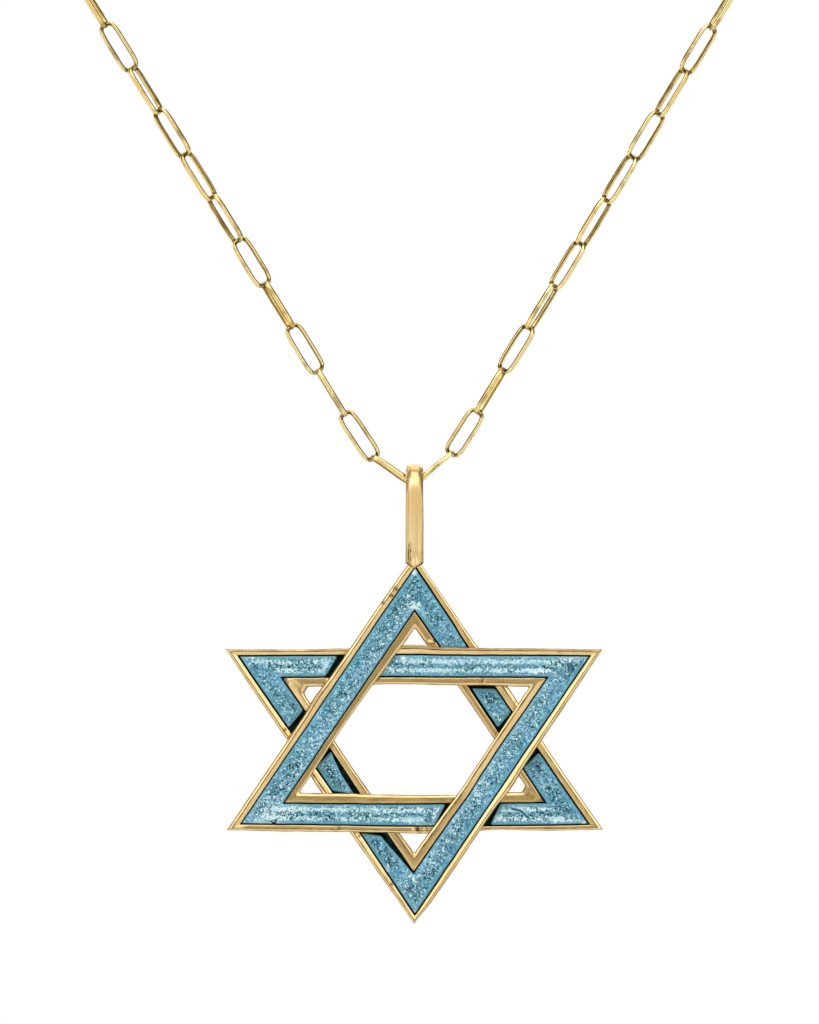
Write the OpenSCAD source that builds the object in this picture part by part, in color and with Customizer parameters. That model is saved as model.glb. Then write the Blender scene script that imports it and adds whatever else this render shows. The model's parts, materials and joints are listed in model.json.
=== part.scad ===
/* [Star] */
// Width of each of the two triangles, from tip to tip
tri_w = 34; // [30:0.5:40]
// Height of each triangle, from its flat side to its tip
tri_h = 24.75; // [22:0.25:29]
// How far each flat side lies from the middle of the star
flat_off = 8.15; // [7.6:0.05:8.8]
// Width of the band that runs along each side
band_w = 3.35; // [3:0.05:3.7]
// Thickness of each triangle, front to back
band_t = 1.7; // [1.5:0.05:2.1]
// Turn of each triangle about the upright, which weaves one over the other
weave_turn = 4.2; // [3.7:0.1:4.7]
// Rounding of the small hole under the upper tip
top_hole_r = 0.9; // [0.2:0.05:1.2]
// Rounding of the small hole above the lower tip
low_hole_r = 0.5; // [0.2:0.05:1]
// Rounding of the holes in the four side corners
side_hole_r = 0.3; // [0.1:0.05:0.6]

/* [Enamel] */
// Width of the gold rim along each edge of a band
rim_w = 0.62; // [0.45:0.01:0.75]
// Depth of the channel that holds the enamel
channel_d = 0.62; // [0.45:0.01:0.75]
// How far the enamel lies below the rims
enamel_drop = 0.14; // [0.08:0.01:0.25]
// Hairline between the enamel and the metal round it
enamel_gap = 0.06; // [0.03:0.01:0.1]
// Dark gap where the enamel ends beside a band that crosses over
cross_gap = 0.2; // [0.1:0.02:0.3]

/* [Bail] */
// Width of the bail strap, side to side
bail_w = 1.53; // [1.3:0.02:1.7]
// Thickness of the strap along its middle
bail_t = 0.5; // [0.4:0.02:0.6]
// Thickness of the strap at its edges
bail_edge_t = 0.2; // [0.15:0.01:0.28]
// Inner radius of the bail over the swing axis
bail_r = 1.82; // [1.8:0.02:2.1]
// How far the straight legs reach below the swing axis
bail_leg = 4.5; // [4.2:0.1:4.9]
// Height of the swing axis above the upper tip of the star
pivot_rise = 5.9; // [5.7:0.1:6.6]

/* [Chain] */
// Diameter of the wire that the links are bent from
wire_d = 0.36; // [0.32:0.01:0.38]
// Outer width of a link
link_w = 1.8; // [1.74:0.02:1.86]
// Length that each link adds to the chain
link_pitch = 4.55; // [4.4:0.01:4.7]
// Play between two links that hang in each other
link_play = 0.125; // [0.115:0.005:0.15]

/* [Clasp] */
// Length of the clasp between the links that it holds
clasp_len = 12.4; // [11.6:0.2:13.6]
// Outer width of the clasp's hook
hook_w = 4.4; // [4:0.1:5]
// Thickness of the hook where a link hangs in it
hook_d = 0.7; // [0.6:0.02:0.76]
// Thickness of the clasp's back
back_d = 1.3; // [1.1:0.05:1.6]
// Thickness of the end ring
ring_d = 0.5; // [0.4:0.02:0.6]
// Inner width of the end ring
ring_in = 1.3; // [1.2:0.05:1.6]

/* [Hidden] */
$fn = 48;
GOLD = "#d9b25f";
BLUE = "#5b9fc2";

// Route of one side of the chain from the lowest point of its V to the nape.
// The first three points lie on the straight, upright V in front.
ROUTE = [[0, -94, -100], [15, -94, -75.6], [30, -94, -51.2], [44, -93, -28.6],
         [54, -85, -11.5], [59, -69, -1], [59, -49, 3], [52.5, -28, 3.5],
         [39, -11.5, 2], [20, -2.5, 0.5], [0, 0, 0]];
// Each side spreads a little differently from the middle
LEFT_SPREAD = 1.011;
RIGHT_SPREAD = 0.989;
// Distance along the route to the inner end of the first link, on each side
LEFT_START = 1.65;
RIGHT_START = 2.35;
// Roll of the links that hang in front, from the bail up; 0 shows the full face
LEFT_ROLLS = [82, 0, -86, 10, -73, 14, -52, 47, -35, 61, -10, 75];
RIGHT_ROLLS = [90, 0, 75, -30, 65, -42, 49, -47, 27, -57, 31, -75];
// The links behind stand crosswise by turns and roll back a little at each one,
// so that the clasp lies flat against the neck
BACK_TURN = -0.8;
// In the bail the first link of the left side lies this far behind, the other in front
NEST_SHIFT = 0.34;
// Both first links are drawn out this far, to clear the bend above them
NEST_SLIDE = 0.09;
// The clasp sits this far to the left of the nape's middle
CLASP_SHIFT = 1.2;
// The star hangs a little to the right of the middle, and the nest a little more
STAR_X = 0.28;
NEST_X = 0.32;
// Height of the nest above the lowest point of the route
NEST_RISE = 3.22;
// The star swings about a line this far below the nest
PIVOT_DROP = 0.4;
// How far the bail's foot stands out in front of the star and behind it
FOOT_STAND = 0.1;
// How far the foot reaches up between the legs, above where they run into its faces
FOOT_LAP = 0.3;
// Thickness of the clasp's lever as a share of the hook's
LEVER_SHARE = 0.8;

front_y = ROUTE[0][1];
// Where the first links of both sides hold each other, inside the bail
nest = [NEST_X, front_y, ROUTE[0][2] + NEST_RISE];
pivot = [STAR_X, front_y, nest[2] - PIVOT_DROP];
star_z = pivot[2] - pivot_rise - (tri_h - flat_off);

half_w = tri_w / 2;
in_radius = half_w * tri_h / (half_w + norm([half_w, tri_h]));
link_r = (link_w - wire_d) / 2;
overcut = 2;

// Corners of the triangle that points up, each side moved in by inset
function up_corners(inset) =
  let (k = (in_radius - inset) / in_radius, mid = [0, in_radius - flat_off])
  [for (c = [[0, tri_h - flat_off], [-half_w, -flat_off], [half_w, -flat_off]])
    mid + k * (c - mid)];

function unit(v) = v / norm(v);
function to_micron(v) = round(v * 1000) / 1000;

// Arc that rounds corner p between the directions of a and b
function corner_arc(p, a, b, r, steps = 6) =
  let (u = unit(a - p), v = unit(b - p), half = acos(u * v) / 2,
       mid = p + unit(u + v) * r / sin(half),
       s = p + u * r / tan(half) - mid, e = p + v * r / tan(half) - mid,
       a0 = atan2(s[1], s[0]), turn = atan2(s[0] * e[1] - s[1] * e[0], s * e))
  [for (i = [0:steps]) mid + r * [cos(a0 + turn * i / steps), sin(a0 + turn * i / steps)]];

module hole_outline(tip_r) {
  c = up_corners(band_w);
  r = [tip_r, side_hole_r, side_hole_r];
  polygon([for (i = [0:2]) each corner_arc(c[i], c[(i + 2) % 3], c[(i + 1) % 3], r[i])]);
}

// Outline of a whole band ring, grown or shrunk on both edges by grow
module band_outline(grow = 0) {
  difference() {
    polygon(up_corners(-grow));
    polygon(up_corners(band_w + grow));
  }
}

// Stands a flat outline up at the star's middle, its front face at depth_front
module stand(side, depth_front, depth) {
  translate([STAR_X, front_y, star_z])
    rotate([0, 0, weave_turn * side])
      mirror([0, 0, side < 0 ? 1 : 0])
        rotate([90, 0, 0])
          translate([0, 0, depth_front - depth]) linear_extrude(depth) children();
}

// side is 1 for the triangle that points up, -1 for the one that points down
module triangle_plate(side) {
  stand(side, band_t / 2, band_t) difference() {
    polygon(up_corners(0));
    hole_outline(side > 0 ? top_hole_r : low_hole_r);
  }
}

// Everything in front of and behind a band, on the half where it lies on top
module over_band(side, grow) {
  intersection() {
    stand(side, band_t + overcut, 2 * (band_t + overcut)) band_outline(grow);
    translate([STAR_X - (side > 0 ? tri_w : 0), front_y - tri_w / 2, star_z - tri_w])
      cube([tri_w, tri_w, 2 * tri_w]);
  }
}

module channel(side) {
  difference() {
    stand(side, band_t / 2 + overcut, channel_d + overcut) difference() {
      polygon(up_corners(rim_w));
      polygon(up_corners(band_w - rim_w));
    }
    over_band(-side, 0);
  }
}

// All the enamel of one triangle, stopped where the other crosses over it
module enamel_ring(side) {
  difference() {
    stand(side, band_t / 2 - enamel_drop, channel_d - enamel_drop - enamel_gap) difference() {
      polygon(up_corners(rim_w + enamel_gap));
      polygon(up_corners(band_w - rim_w - enamel_gap));
    }
    over_band(-side, cross_gap);
  }
}

// The half of the star where one triangle dips behind the other, from height low up
module dip_half(side, low) {
  translate([STAR_X + (side > 0 ? 0 : -tri_w), front_y - tri_w / 2, star_z])
    mirror([0, 0, side > 0 ? 0 : 1]) translate([0, 0, low]) cube([tri_w, tri_w, tri_w - low]);
}

// Outside the other triangle, where a corner of the enamel lies by itself
module outer_zone(side) {
  difference() {
    dip_half(side, -tri_w);
    dip_half(side, flat_off);
    stand(-side, tri_w / 2, tri_w) polygon(up_corners(0));
  }
}

// Inside the other triangle's hole, where a short stretch lies between two crossings
module inner_zone(side) {
  intersection() {
    dip_half(side, 0);
    stand(-side, tri_w / 2, tri_w) polygon(up_corners(band_w));
  }
}

module enamel_corner(side) {
  color(BLUE) intersection() {
    enamel_ring(side);
    outer_zone(side);
  }
}

module enamel_side(side) {
  color(BLUE) intersection() {
    enamel_ring(side);
    inner_zone(side);
  }
}

module enamel_long(side) {
  color(BLUE) difference() {
    enamel_ring(side);
    outer_zone(side);
    inner_zone(side);
  }
}

// Section of the bail strap: flat inside, rounded outside, thickness along X
module strap_section() {
  rise = bail_t - bail_edge_t;
  r = ((bail_w / 2) ^ 2 + rise ^ 2) / (2 * rise);
  intersection() {
    translate([bail_t - r, 0]) circle(r);
    translate([0, -bail_w / 2]) square([bail_t, bail_w]);
  }
}

// Half the depth of the foot, where the legs run into the star
foot_y = band_t / 2 + FOOT_STAND;
// Lean of the legs, so that they run straight off the round top
leg_lean = asin((bail_r + bail_t) / norm([foot_y, bail_leg])) - atan(foot_y / bail_leg);
leg_run = sqrt(foot_y ^ 2 + bail_leg ^ 2 - (bail_r + bail_t) ^ 2);
// The foot ends where the star has grown as wide as the strap
foot_end = pivot_rise + bail_w / 2 * tri_h / half_w;
foot_h = foot_end - bail_leg + FOOT_LAP;

module bail() {
  translate(pivot) {
    rotate([0, 90, 0]) rotate([0, 0, 90 - leg_lean])
      rotate_extrude(angle = 180 + 2 * leg_lean) translate([bail_r, 0]) strap_section();
    for (back = [0, 1]) mirror([0, back, 0]) {
      rotate([leg_lean, 0, 0]) translate([0, -bail_r, 0])
        mirror([0, 0, 1]) linear_extrude(leg_run + bail_t) rotate(-90) strap_section();
      translate([0, bail_t - foot_y, -foot_end])
        linear_extrude(foot_h) rotate(-90) strap_section();
    }
    translate([-bail_w / 2, bail_t - foot_y, -foot_end])
      cube([bail_w, 2 * (foot_y - bail_t), foot_h]);
  }
}

module star_frame() {
  color(GOLD) {
    difference() {
      union() for (side = [1, -1]) triangle_plate(side);
      for (side = [1, -1]) channel(side);
    }
    bail();
  }
}

module enamel_up_long() { enamel_long(1); }
module enamel_up_side() { enamel_side(1); }
module enamel_up_corner() { enamel_corner(1); }
module enamel_down_long() { enamel_long(-1); }
module enamel_down_side() { enamel_side(-1); }
module enamel_down_corner() { enamel_corner(-1); }

// One round loop with straight sides, long way on X, flat in the XY plane
module loop(straight, r, d) {
  for (s = [-1, 1]) {
    translate([-straight / 2, s * r, 0]) rotate([0, 90, 0]) cylinder(d = d, h = straight);
    translate([s * straight / 2, 0, 0]) rotate([0, 0, -s * 90])
      rotate_extrude(angle = 180) translate([r, 0]) circle(d = d);
  }
}

// Smooth curve through the route's points, sampled closely
function curve_at(p, i, t) =
  let (n = len(p) - 1, b = p[i], c = p[i + 1],
       a = i > 0 ? p[i - 1] : 2 * b - c, d = i < n - 1 ? p[i + 2] : 2 * c - b)
  0.5 * (2 * b + (c - a) * t + (2 * a - 5 * b + 4 * c - d) * t ^ 2
         + (3 * b - a - 3 * c + d) * t ^ 3);
function side_route(spread) = [for (p = ROUTE) [p[0] * spread, p[1], p[2]]];
function sampled(p, n = 24) =
  [for (i = [0:len(p) - 2], k = [0:n - 1]) curve_at(p, i, k / n), p[len(p) - 1]];
function run_lengths(q, i = 0, s = 0) =
  i == len(q) - 1 ? [s] : concat([s], run_lengths(q, i + 1, s + norm(q[i + 1] - q[i])));
function table(q, s, axis) = [for (i = [0:len(q) - 1]) [s[i], q[i][axis]]];

// Joints of one side: the points where one link hangs in the next
function joints(side) =
  let (q = sampled(side_route(side > 0 ? RIGHT_SPREAD : -LEFT_SPREAD)), s = run_lengths(q),
       start = link_pitch + (side > 0 ? RIGHT_START : LEFT_START),
       free = s[len(s) - 1] - start - clasp_len / 2 + side * CLASP_SHIFT,
       n = round(free / link_pitch),
       tx = table(q, s, 0), ty = table(q, s, 1), tz = table(q, s, 2))
  [for (i = [0:n]) let (at = start + free * i / n)
    [lookup(at, tx), lookup(at, ty), lookup(at, tz)]];

// Faces of the links carried along the joints without twisting
function faces(j, i = 0, face = [0, -1, 0]) =
  i == len(j) - 1 ? [] :
  let (d = unit(j[i + 1] - j[i]), f = unit(face - (face * d) * d))
  concat([f], faces(j, i + 1, f));

// A link from joint a to joint b, rolled about its length
module link(a, b, face, roll) {
  d = unit(b - a);
  f = face * cos(roll) + cross(d, face) * sin(roll);
  w = cross(f, d);
  mid = (a + b) / 2;
  multmatrix([[d[0], w[0], f[0], mid[0]], [d[1], w[1], f[1], mid[1]], [d[2], w[2], f[2], mid[2]]])
    loop(to_micron(norm(b - a) + link_play + wire_d - 2 * link_r), link_r, wire_d);
}

function roll_at(i, side) =
  let (front = side > 0 ? RIGHT_ROLLS : LEFT_ROLLS)
  i < len(front) ? front[i] : side * (BACK_TURN * (i - len(front)) - 90 * (i % 2));

// One side of the chain; side is -1 on the left and 1 on the right
module chain_side(side) {
  j = joints(side);
  f = faces(j);
  inward = unit(nest - [0, side * NEST_SHIFT, 0] - j[0]);
  first = j[0] - inward * NEST_SLIDE;
  link(first, first + inward * link_pitch, [0, -1, 0], roll_at(0, side));
  for (i = [1:len(j) - 1]) link(j[i - 1], j[i], f[i - 1], roll_at(i, side));
}

module chain_left() { color(GOLD) chain_side(-1); }
module chain_right() { color(GOLD) chain_side(1); }

// A plain closed hook with a thick back and a stub of a lever, and a ring at its left end
module clasp() {
  ends = [for (side = [-1, 1]) let (j = joints(side)) j[len(j) - 1]];
  span = ends[1] - ends[0];
  ring_r = (ring_in + ring_d) / 2;
  hook_r = (hook_w - hook_d) / 2;
  ring_x = ring_r - (norm(span) + link_play + ring_d) / 2;
  hook_left = ring_x + ring_r + hook_d / 2;
  hook_right = (norm(span) + link_play + hook_d) / 2;
  straight = to_micron(hook_right - hook_left - 2 * hook_r);
  color(GOLD) translate((ends[0] + ends[1]) / 2)
    rotate([0, -asin(span[2] / norm(span)), atan2(span[1], span[0])]) {
      translate([to_micron(ring_x), 0, 0]) rotate([90, 0, 0])
        rotate_extrude() translate([ring_r, 0]) circle(d = ring_d);
      translate([to_micron((hook_left + hook_right) / 2), 0, 0]) rotate([90, 0, 0]) {
        loop(straight, hook_r, hook_d);
        translate([-straight / 2, -hook_r, 0]) {
          rotate([0, 90, 0]) cylinder(d = back_d, h = straight);
          for (end = [0, straight]) translate([end, 0, 0]) sphere(d = back_d);
        }
        translate([-straight / 2, hook_r, 0])
          rotate([-90, 0, 0]) cylinder(d = hook_d * LEVER_SHARE, h = hook_d);
      }
    }
}

star_frame();
enamel_up_long();
enamel_up_side();
enamel_up_corner();
enamel_down_long();
enamel_down_side();
enamel_down_corner();
chain_left();
chain_right();
clasp();
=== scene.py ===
import json
import math

import bmesh
import bpy
import numpy as np
from mathutils import Matrix, Vector, noise


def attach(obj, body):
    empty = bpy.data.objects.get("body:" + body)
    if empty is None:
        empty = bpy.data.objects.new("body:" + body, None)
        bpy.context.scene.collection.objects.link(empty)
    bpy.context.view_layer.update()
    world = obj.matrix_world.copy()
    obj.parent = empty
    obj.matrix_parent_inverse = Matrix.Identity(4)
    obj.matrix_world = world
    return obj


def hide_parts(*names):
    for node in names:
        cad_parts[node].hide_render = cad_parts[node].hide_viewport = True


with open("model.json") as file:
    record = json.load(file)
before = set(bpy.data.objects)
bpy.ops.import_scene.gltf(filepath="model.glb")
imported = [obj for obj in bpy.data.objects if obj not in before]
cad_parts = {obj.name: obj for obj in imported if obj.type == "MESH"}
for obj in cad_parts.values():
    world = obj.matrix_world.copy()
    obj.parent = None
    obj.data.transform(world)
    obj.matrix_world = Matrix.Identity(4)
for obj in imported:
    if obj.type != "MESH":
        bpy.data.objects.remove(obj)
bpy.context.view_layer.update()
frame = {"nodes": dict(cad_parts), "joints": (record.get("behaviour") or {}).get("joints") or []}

mm = 0.001
pivot = Vector(frame["joints"][0]["pos_m"])    # the line that the bail swings about
print("frame loaded:", len(frame["nodes"]), "nodes")


# camera, in millimetres: straight on, far away, the picture's middle a little left of the pendant
view = {"distance": 1600, "pictureHeight": 92.16, "x": -0.17, "z": -99.2, "chip": 36}

camera = bpy.data.objects.new("camera", bpy.data.cameras.new("camera"))
bpy.context.scene.collection.objects.link(camera)
camera.location = (view["x"] * mm, pivot.y - view["distance"] * mm, view["z"] * mm)
camera.rotation_euler = (math.radians(90), 0, 0)
camera.data.sensor_width = view["chip"]
camera.data.lens = view["chip"] * view["distance"] / view["pictureHeight"]
camera.data.clip_end = 20
bpy.context.scene.camera = camera
bpy.context.scene.view_settings.view_transform = "Standard"


# small helpers for shader trees: a value that is a socket is linked, anything else is typed in
def fillInputs(tree, inputs, values):
    for key, value in values.items():
        if isinstance(value, bpy.types.NodeSocket):
            tree.links.new(value, inputs[key])
        else:
            inputs[key].default_value = value


def addNode(tree, kind, values=None, **settings):
    made = tree.nodes.new("ShaderNode" + kind)
    for key, value in settings.items():
        setattr(made, key, value)
    fillInputs(tree, made.inputs, values or {})
    return made


def calc(tree, operation, a, b=0.0, clamp=False):
    return addNode(tree, "Math", {0: a, 1: b}, operation=operation, use_clamp=clamp).outputs[0]


def plus(tree, a, b):
    return calc(tree, "ADD", a, b)


def times(tree, a, b, clamp=False):
    return calc(tree, "MULTIPLY", a, b, clamp)


def smoothStep(tree, value, low, high, atLow=0.0, atHigh=1.0):
    return addNode(tree, "MapRange", {"Value": value, "From Min": low, "From Max": high,
                                      "To Min": atLow, "To Max": atHigh},
                   interpolation_type="SMOOTHSTEP").outputs[0]


def blendColour(tree, factor, a, b):
    return addNode(tree, "Mix", {0: factor, 6: a, 7: b}, data_type="RGBA").outputs[2]


def grain(tree, vector, scale, detail=2.0, roughness=0.5):
    return addNode(tree, "TexNoise", {"Vector": vector, "Scale": scale, "Detail": detail,
                                      "Roughness": roughness}).outputs["Fac"]


# the studio: pale all round, dimmer straight in front and below, with lamps and dark things here and
# there at the sides and behind, so that polished gold shows its dark and bright streaks
studio = {"front": (0.46, 0.43, 0.38, 1), "ring": (1.38, 1.34, 1.28, 1), "dark": (0.10, 0.08, 0.035, 1),
          "lamp": (2.6, 2.5, 2.3, 1), "below": (1.08, 1.04, 0.95, 1), "seen": (1, 1, 1, 1),
          "thingScale": 2.3, "lampScale": 2.6, "lampShift": (4, 7, 2), "capDark": 0.6, "rightDark": 0.85}
# the floor: its drop in millimetres, its radius in metres and its paint
floorLook = {"drop": 260, "size": 3.0, "colour": (0.93, 0.93, 0.92, 1), "rough": 0.9}
softboxes = {"softboxAbove": {"place": (-0.35, -0.95, 0.55), "size": (0.5, 0.35), "power": 1.2,
                              "colour": (1.0, 0.98, 0.95)},
             "softboxBelow": {"place": (0.25, -1.0, -0.62), "size": (0.6, 0.25), "power": 1.6,
                              "colour": (1.0, 0.96, 0.90)}}


def buildWorld():
    world = bpy.data.worlds.new("studio")
    world.use_nodes = True
    bpy.context.scene.world = world
    tree = world.node_tree
    tree.nodes.clear()
    direction = addNode(tree, "TexCoord").outputs["Generated"]
    parts = addNode(tree, "SeparateXYZ", {0: direction}).outputs
    forward = parts[1]    # -1 is towards the camera
    things = grain(tree, direction, studio["thingScale"], 1.0)
    shifted = addNode(tree, "Mapping", {"Vector": direction, "Location": studio["lampShift"]}).outputs[0]
    lamps = grain(tree, shifted, studio["lampScale"], 1.0)
    across = calc(tree, "ABSOLUTE", parts[0])
    aside = times(tree, smoothStep(tree, forward, -0.74, -0.55), smoothStep(tree, across, 0.15, 0.40))
    ring = blendColour(tree, smoothStep(tree, parts[2], -0.55, -0.66), studio["ring"], studio["below"])
    lit = times(tree, smoothStep(tree, lamps, 0.56, 0.62), aside)
    ring = blendColour(tree, lit, ring, studio["lamp"])
    dark = times(tree, smoothStep(tree, things, 0.50, 0.58), aside)
    # dark bands: wide on both sides, narrow all round beside the star, and one more on the right
    wide = times(tree, smoothStep(tree, forward, -0.50, -0.30), smoothStep(tree, forward, 0.45, 0.25))
    wide = times(tree, wide, smoothStep(tree, across, 0.15, 0.45, 0.0, 0.9))
    cap = times(tree, smoothStep(tree, forward, -0.08, 0.0), smoothStep(tree, forward, 0.26, 0.14))
    right = times(tree, smoothStep(tree, forward, -0.62, -0.46), smoothStep(tree, parts[0], 0.35, 0.60))
    band = calc(tree, "MAXIMUM", wide, times(tree, cap, studio["capDark"]))
    band = calc(tree, "MAXIMUM", band, times(tree, right, studio["rightDark"]))
    around = blendColour(tree, calc(tree, "MAXIMUM", dark, band), ring, studio["dark"])
    around = blendColour(tree, smoothStep(tree, forward, -0.927, -0.978), around, studio["front"])
    seen = addNode(tree, "LightPath").outputs["Is Camera Ray"]
    shown = blendColour(tree, seen, around, studio["seen"])
    back = addNode(tree, "Background", {"Color": shown, "Strength": 1.0}).outputs[0]
    addNode(tree, "OutputWorld", {"Surface": back})


def addSoftbox(name, place, size, power, colour):
    lamp = bpy.data.lights.new(name, "AREA")
    lamp.shape = "RECTANGLE"
    lamp.size, lamp.size_y = size
    lamp.energy = power
    lamp.color = colour
    box = bpy.data.objects.new(name, lamp)
    bpy.context.scene.collection.objects.link(box)
    box.location = Vector(place)
    aim = Vector((0, pivot.y, -0.1)) - box.location    # at the bail
    box.rotation_euler = aim.to_track_quat("-Z", "Y").to_euler()


def buildFloor():
    bm = bmesh.new()
    bmesh.ops.create_circle(bm, cap_ends=True, segments=64, radius=floorLook["size"])
    bmesh.ops.translate(bm, vec=(0, 0, -floorLook["drop"] * mm), verts=bm.verts)
    mesh = bpy.data.meshes.new("floor")
    bm.to_mesh(mesh)
    bm.free()
    floor = bpy.data.objects.new("floor", mesh)
    bpy.context.scene.collection.objects.link(floor)
    paint = bpy.data.materials.new("floorPaint")
    paint.use_nodes = True
    skin = paint.node_tree.nodes["Principled BSDF"].inputs
    fillInputs(paint.node_tree, skin, {"Base Color": floorLook["colour"], "Roughness": floorLook["rough"]})
    mesh.materials.append(paint)


buildWorld()
buildFloor()
for name, box in softboxes.items():
    addSoftbox(name, **box)
print("studio ready")


# node groups that more than one finish uses
def newGroup(name, inputs, outputs):
    tree = bpy.data.node_groups.new(name, "ShaderNodeTree")
    for label, kind in inputs:
        tree.interface.new_socket(label, in_out="INPUT", socket_type="NodeSocket" + kind)
    for label, kind in outputs:
        tree.interface.new_socket(label, in_out="OUTPUT", socket_type="NodeSocket" + kind)
    start = tree.nodes.new("NodeGroupInput")
    end = tree.nodes.new("NodeGroupOutput")
    return tree, start.outputs, end.inputs


def polishGroup():
    # soft ripples of hand polishing, fine hairlines and a slow change of tint
    tree, given, wanted = newGroup("polishedSkin", [("Vector", "Vector"), ("Ripple", "Float")],
                                   [("Tint", "Float"), ("Rough", "Float"), ("Height", "Float")])
    slow = grain(tree, given["Vector"], 260, 2.0)
    ripple = grain(tree, given["Vector"], given["Ripple"], 2.0)
    stretched = addNode(tree, "Mapping", {"Vector": given["Vector"], "Scale": (1, 1, 9),
                                          "Rotation": (0, 0.6, 0)}).outputs[0]
    hairs = grain(tree, stretched, 5200, 2.0, 0.6)
    fillInputs(tree, wanted, {"Tint": smoothStep(tree, slow, 0.35, 0.65),
                              "Rough": smoothStep(tree, hairs, 0.3, 0.8, 0.10, 0.24),
                              "Height": plus(tree, ripple, times(tree, hairs, 0.12))})
    return tree


def shadeAndGrimeGroup():
    # painted shade with some old polish: dark lines painted at the edges, along facet lines and in creases
    # and joints, broken up so that no line is quite even
    tree, given, wanted = newGroup("shadeAndGrimeLines", [("Vector", "Vector"), ("Amount", "Float")],
                                   [("Mask", "Float")])
    patchy = smoothStep(tree, grain(tree, given["Vector"], 900, 3.0), 0.3, 0.7, 0.55, 1.2)
    fillInputs(tree, wanted, {"Mask": times(tree, given["Amount"], patchy, clamp=True)})
    return tree


# the enamel's foil: its colours, and how fine each of its patterns is; the ridge and glint colours are
# painted highlights, the rim colour is painted shade
foilColours = {"edge": (0.115, 0.350, 0.510, 1), "middle": (0.100, 0.390, 0.560, 1),
               "deepBlue": (0.130, 0.390, 0.680, 1), "pale": (0.420, 0.680, 0.840, 1),
               "flake": (0.320, 0.700, 0.86, 1), "crease": (0.002, 0.045, 0.078, 1),
               "pit": (0.002, 0.040, 0.070, 1), "ridge": (0.580, 0.870, 0.96, 1),
               "paintedGlint": (0.70, 0.93, 1.0, 1), "rim": (0.002, 0.016, 0.018, 1)}
foilScales = {"bend": 1700, "flakes": 3900, "creases": 2700, "fine": 4100, "specks": 6300, "slow": 420}


def foilGroup():
    # crumpled foil under blue glass: dark creases, pale flakes, painted highlight rows and painted glints,
    # calm at the edges
    tree, given, wanted = newGroup("foilGrain", [("Vector", "Vector"), ("Rim", "Float"), ("Level", "Float"),
                                                 ("Pale", "Float")],
                                   [("Colour", "Color"), ("Rough", "Float"), ("Height", "Float")])
    rim, pale = given["Rim"], given["Pale"]
    bend = addNode(tree, "TexNoise", {"Vector": given["Vector"], "Scale": foilScales["bend"],
                                      "Detail": 1.0}).outputs["Color"]
    warped = addNode(tree, "VectorMath", {0: bend, "Scale": 0.00045}, operation="SCALE").outputs[0]
    place = addNode(tree, "VectorMath", {0: given["Vector"], 1: warped}, operation="ADD").outputs[0]
    aside = addNode(tree, "VectorMath", {0: place, 1: (0.4, 0.2, 0.7)}, operation="ADD").outputs[0]
    flakes = grain(tree, aside, foilScales["flakes"], 2.0, 0.6)
    creases = grain(tree, place, foilScales["creases"], 1.0, 0.5)
    fine = grain(tree, place, foilScales["fine"], 1.0, 0.5)
    specks = grain(tree, place, foilScales["specks"], 1.0, 0.5)
    slow = grain(tree, given["Vector"], foilScales["slow"], 2.0)
    ragged = plus(tree, rim, times(tree, calc(tree, "SUBTRACT", slow, 0.5), 0.7))
    inside = smoothStep(tree, ragged, 0.05, 0.36)
    # the glass over the foil, and soft flakes in it
    body = blendColour(tree, inside, foilColours["edge"], foilColours["middle"])
    body = blendColour(tree, smoothStep(tree, slow, 0.45, 0.70), body, foilColours["deepBlue"])
    # the pale mask paints paler foil, much of it painted highlight
    body = blendColour(tree, times(tree, pale, 0.65, clamp=True), body, foilColours["pale"])
    soft = times(tree, smoothStep(tree, flakes, 0.44, 0.57), plus(tree, inside, 0.12), clamp=True)
    body = blendColour(tree, times(tree, soft, 0.85), body, foilColours["flake"])
    # dark creases, thinner ones between them, and pits
    deep = smoothStep(tree, calc(tree, "ABSOLUTE", calc(tree, "SUBTRACT", creases, 0.5)), 0.066, 0.022)
    thin = smoothStep(tree, calc(tree, "ABSOLUTE", calc(tree, "SUBTRACT", fine, 0.48)), 0.058, 0.020)
    crease = calc(tree, "MAXIMUM", deep, times(tree, thin, 0.8))
    crease = times(tree, crease, smoothStep(tree, slow, 0.60, 0.40, 0.55, 1.0))
    crease = times(tree, crease, smoothStep(tree, rim, 0.20, 0.75, 0.55, 1.0))
    crease = times(tree, crease, plus(tree, inside, 0.10), clamp=True)
    body = blendColour(tree, crease, body, foilColours["crease"])
    pit = times(tree, smoothStep(tree, specks, 0.38, 0.33), inside)
    body = blendColour(tree, pit, body, foilColours["pit"])
    # painted highlights: a paler row along both borders of the level sides, for the shine on the crowned
    # enamel there, and painted glints
    row = times(tree, smoothStep(tree, rim, 0.26, 0.44), smoothStep(tree, rim, 0.84, 0.62))
    row = times(tree, row, given["Level"])
    ridge = times(tree, row, smoothStep(tree, plus(tree, fine, slow), 0.90, 1.08))
    body = blendColour(tree, times(tree, ridge, 0.7), body, foilColours["ridge"])
    paler = plus(tree, times(tree, row, 0.085), times(tree, pale, 0.12))
    bright = plus(tree, times(tree, plus(tree, flakes, specks), 0.5), paler)
    paintedGlint = times(tree, smoothStep(tree, bright, 0.595, 0.650), plus(tree, inside, pale), clamp=True)
    body = blendColour(tree, paintedGlint, body, foilColours["paintedGlint"])
    # painted shade: a near-black line along the enamel's border, for the shadowed gap beside the rim
    body = blendColour(tree, smoothStep(tree, rim, 0.050, 0.015), body, foilColours["rim"])
    fillInputs(tree, wanted, {"Colour": body, "Rough": smoothStep(tree, specks, 0.3, 0.7, 0.45, 0.25),
                              "Height": plus(tree, flakes, times(tree, specks, 0.5))})
    return tree


groups = {"polish": polishGroup(), "shadeAndGrime": shadeAndGrimeGroup(), "foil": foilGroup()}


def useGroup(tree, name, values):
    placed = tree.nodes.new("ShaderNodeGroup")
    placed.node_tree = groups[name]
    fillInputs(tree, placed.inputs, values)
    return placed.outputs


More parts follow.
